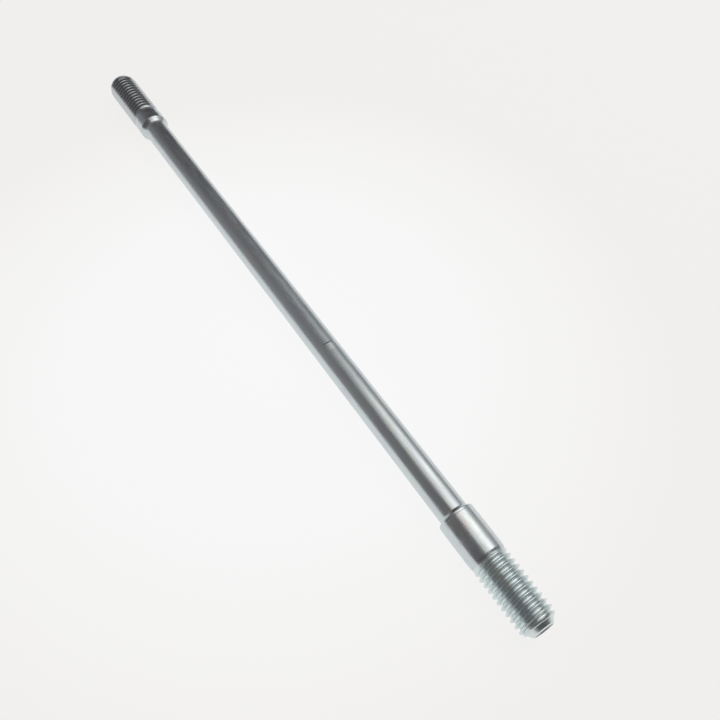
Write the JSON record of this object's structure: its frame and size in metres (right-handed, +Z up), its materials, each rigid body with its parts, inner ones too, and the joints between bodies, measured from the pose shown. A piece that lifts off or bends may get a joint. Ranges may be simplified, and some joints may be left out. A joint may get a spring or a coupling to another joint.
{
  "type": "cylinder stud",
  "caption": "Long double-ended stud: a rolled thread at each end, a plain full-diameter land behind each thread, and a necked shank between the lands.",
  "frame": {"origin": "on the surface that the stud lies on, below the middle of its length", "axes": "+X along the stud towards its tap end, +Z up"},
  "size_m": [0.187, 0.0078, 0.0078],
  "materials": {
    "zinc_plated_steel": "bright clear-passivated zinc plating on turned steel"
  },
  "bodies": {
    "root": {"stud": "zinc_plated_steel"}
  },
  "joints": []
}
